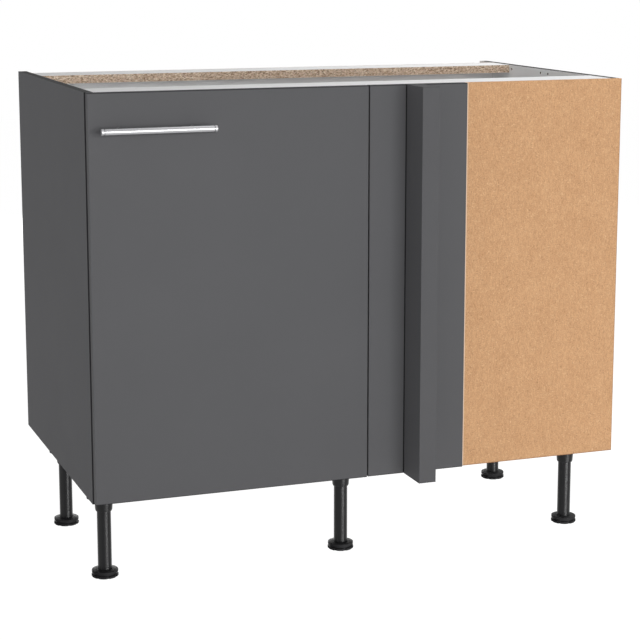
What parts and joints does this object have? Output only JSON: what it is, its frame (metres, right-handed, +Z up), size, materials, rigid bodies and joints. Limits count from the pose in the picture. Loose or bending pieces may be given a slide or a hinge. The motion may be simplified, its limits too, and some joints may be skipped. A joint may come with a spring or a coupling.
{
  "type": "corner base cabinet",
  "caption": "Blind corner base cabinet on adjustable legs: carcass with open top, one hinged door with bar handle, filler strip with corner post and a raw blind panel.",
  "frame": {"origin": "on the floor, at the centre of the footprint", "axes": "+X to the right seen from the front, +Y from the front to the back, +Z up"},
  "size_m": [1, 0.654, 0.87],
  "materials": {
    "anthracite_board": "melamine faced board, matt anthracite",
    "white_board": "melamine faced board, white",
    "raw_board": "raw fibreboard",
    "beech": "raw beech",
    "black_plastic": "moulded, satin",
    "brushed_handle": "brushed",
    "zinc_steel": "bright zinc plated",
    "buffer_rubber": "soft, translucent"
  },
  "bodies": {
    "carcass": {"angle_screws": "zinc_steel", "back_panel": "white_board", "back_rail": "white_board", "blind_panel": "raw_board", "bottom_panel": "white_board", "cam_bolts": "zinc_steel", "cam_locks": "zinc_steel", "corner_post": "anthracite_board", "filler_strip": "anthracite_board", "fixing_angles": "zinc_steel", "front_rail": "white_board", "hinge_arm_axles": "zinc_steel", "hinge_arm_lower": "zinc_steel", "hinge_arm_screws": "zinc_steel", "hinge_arm_upper": "zinc_steel", "hinge_plate_lower": "zinc_steel", "hinge_plate_screws": "zinc_steel", "hinge_plate_upper": "zinc_steel", "left_side_panel": "anthracite_board", "leg_screws": "zinc_steel", "leg_socket_back_left": "black_plastic", "leg_socket_back_right": "black_plastic", "leg_socket_front_left": "black_plastic", "leg_socket_front_middle": "black_plastic", "leg_socket_front_right": "black_plastic", "leg_tube_back_left": "black_plastic", "leg_tube_back_right": "black_plastic", "leg_tube_front_left": "black_plastic", "leg_tube_front_middle": "black_plastic", "leg_tube_front_right": "black_plastic", "mid_stile": "white_board", "nail_glides": "black_plastic", "post_screws": "zinc_steel", "right_side_panel": "anthracite_board", "shelf": "white_board", "shelf_pins": "zinc_steel", "wood_dowels": "beech"},
    "hinge_links": {"hinge_link_lower": "zinc_steel", "hinge_link_upper": "zinc_steel"},
    "door": {"door_buffers": "buffer_rubber", "door_panel": "anthracite_board", "handle_bar": "brushed_handle", "handle_screws": "zinc_steel", "handle_standoff_left": "brushed_handle", "handle_standoff_right": "brushed_handle", "hinge_cup_axles": "zinc_steel", "hinge_cup_lower": "zinc_steel", "hinge_cup_screws": "zinc_steel", "hinge_cup_upper": "zinc_steel"},
    "foot_back_left": {"foot_back_left": "black_plastic"},
    "foot_back_right": {"foot_back_right": "black_plastic"},
    "foot_front_left": {"foot_front_left": "black_plastic"},
    "foot_front_middle": {"foot_front_middle": "black_plastic"},
    "foot_front_right": {"foot_front_right": "black_plastic"}
  },
  "joints": [
    {"name": "link_swing", "type": "hinge", "parent": "carcass", "child": "hinge_links", "pos_m": [-0.033, -0.236, 0.514], "axis": [0, 0, 1], "range_deg": [-38.1, 0]},
    {"name": "door_swing", "type": "hinge", "parent": "hinge_links", "child": "door", "pos_m": [-0.0125, -0.2465, 0.514], "axis": [0, 0, 1], "range_deg": [0, 133]},
    {"name": "foot_back_left_adjust", "type": "slide", "parent": "carcass", "child": "foot_back_left", "axis": [0, 0, -1], "range_m": [0, 0.02]},
    {"name": "foot_back_right_adjust", "type": "slide", "parent": "carcass", "child": "foot_back_right", "axis": [0, 0, -1], "range_m": [0, 0.02]},
    {"name": "foot_front_left_adjust", "type": "slide", "parent": "carcass", "child": "foot_front_left", "axis": [0, 0, -1], "range_m": [0, 0.02]},
    {"name": "foot_front_middle_adjust", "type": "slide", "parent": "carcass", "child": "foot_front_middle", "axis": [0, 0, -1], "range_m": [0, 0.02]},
    {"name": "foot_front_right_adjust", "type": "slide", "parent": "carcass", "child": "foot_front_right", "axis": [0, 0, -1], "range_m": [0, 0.02]}
  ],
  "couplings": [
    {"joint": "link_swing", "follows": "door_swing", "ratio": -0.28571}
  ]
}
